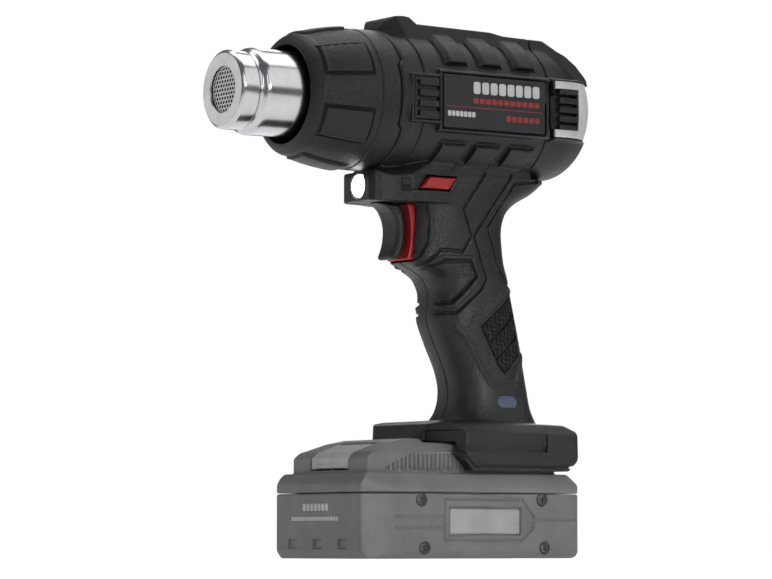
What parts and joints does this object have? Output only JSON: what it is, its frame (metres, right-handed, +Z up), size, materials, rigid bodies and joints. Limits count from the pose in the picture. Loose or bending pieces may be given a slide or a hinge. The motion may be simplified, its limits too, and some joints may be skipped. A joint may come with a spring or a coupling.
{
  "type": "cordless heat gun",
  "caption": "Pistol-grip cordless hot air gun with a bright steel nozzle, dark ribbed housing, red trigger band and a slide-on battery pack",
  "frame": {"origin": "on the floor under the middle of the whole tool, at the bottom centre of its box", "axes": "+Z up; the nozzle points along -X; the tool's left side is at -Y"},
  "size_m": [0.188, 0.075, 0.245],
  "materials": {
    "shell": "fine spark-eroded grain",
    "soft_black": "dull, finely textured",
    "grip_rubber": "soft, cross-ribbed",
    "red_plastic": "satin",
    "chrome_tube": "polished",
    "bright_steel": "plain",
    "silver_trim": "silver lacquer, satin",
    "label_plate": "printed plate, satin",
    "display_glass": "dark window",
    "lamp_lens": "frosted lens",
    "circuit_board": "solder mask",
    "contact_brass": "plain",
    "mica_board": "layered mineral board",
    "heating_wire": "oxidised",
    "cell_wrap": "shrink sleeve",
    "pack_shell": "fine grain",
    "pack_latch": "fine grain"
  },
  "bodies": {
    "tool": {"housing_left": "shell", "housing_right": "shell", "nose_cone": "soft_black", "nozzle_tube": "chrome_tube", "outlet_screen": "bright_steel", "mica_sleeve": "mica_board", "heater_former": "mica_board", "heating_coil": "heating_wire", "thermal_cutout": "bright_steel", "air_duct": "soft_black", "motor_can": "bright_steel", "motor_mount": "shell", "main_board": "circuit_board", "display_board": "circuit_board", "display_window": "display_glass", "rear_cap": "shell", "rear_trim": "silver_trim", "label_left": "label_plate", "label_right": "label_plate", "front_vent_left": "shell", "front_vent_right": "shell", "grip_left": "grip_rubber", "grip_right": "grip_rubber", "led_lens": "lamp_lens", "led_board": "circuit_board", "switch_module": "soft_black", "terminal_block": "soft_black", "terminal_blade_plus": "contact_brass", "terminal_blade_minus": "contact_brass", "trigger_spring": "bright_steel", "housing_screw_1": "bright_steel", "housing_screw_2": "bright_steel", "housing_screw_3": "bright_steel", "housing_screw_4": "bright_steel"},
    "fan": {"fan_impeller": "soft_black", "fan_shaft": "bright_steel"},
    "trigger": {"trigger_frame": "red_plastic", "trigger_pad": "soft_black"},
    "lock": {"lock_button": "red_plastic"},
    "key_down": {"button_down": "soft_black"},
    "key_mode": {"button_mode": "soft_black"},
    "key_up": {"button_up": "soft_black"},
    "battery": {"battery_tray": "pack_shell", "battery_lid": "pack_shell", "battery_board": "circuit_board", "cell_strap_left": "bright_steel", "cell_strap_right": "bright_steel", "pack_contact_plus": "contact_brass", "pack_contact_minus": "contact_brass", "battery_cell_1": "cell_wrap", "battery_cell_2": "cell_wrap", "battery_cell_3": "cell_wrap", "battery_cell_4": "cell_wrap", "battery_cell_5": "cell_wrap"},
    "latch": {"battery_latch": "pack_latch"}
  },
  "joints": [
    {"name": "fan_spin", "type": "hinge", "parent": "tool", "child": "fan", "pos_m": [0, 0, 0.2065], "axis": [1, 0, 0], "continuous": true},
    {"name": "trigger_press", "type": "slide", "parent": "tool", "child": "trigger", "axis": [1, 0, 0], "range_m": [0, 0.006], "stiffness_N_per_m": 900, "springref_m": -0.003, "deforming": ["trigger_spring"]},
    {"name": "lock_push", "type": "slide", "parent": "tool", "child": "lock", "axis": [0, 1, 0], "range_m": [0, 0.004]},
    {"name": "key_down_press", "type": "slide", "parent": "tool", "child": "key_down", "axis": [-1, 0, 0], "range_m": [0, 0.0008], "stiffness_N_per_m": 900, "springref_m": -0.0008},
    {"name": "key_mode_press", "type": "slide", "parent": "tool", "child": "key_mode", "axis": [-1, 0, 0], "range_m": [0, 0.0008], "stiffness_N_per_m": 900, "springref_m": -0.0008},
    {"name": "key_up_press", "type": "slide", "parent": "tool", "child": "key_up", "axis": [-1, 0, 0], "range_m": [0, 0.0008], "stiffness_N_per_m": 900, "springref_m": -0.0008},
    {"name": "battery_slide", "type": "slide", "parent": "tool", "child": "battery", "axis": [-1, 0, 0], "range_m": [0, 0.048]},
    {"name": "latch_press", "type": "hinge", "parent": "battery", "child": "latch", "pos_m": [-0.03, 0, 0.033], "axis": [0, 1, 0], "range_deg": [0, 8], "stiffness_Nm_per_rad": 0.4, "springref_deg": -2.86}
  ]
}
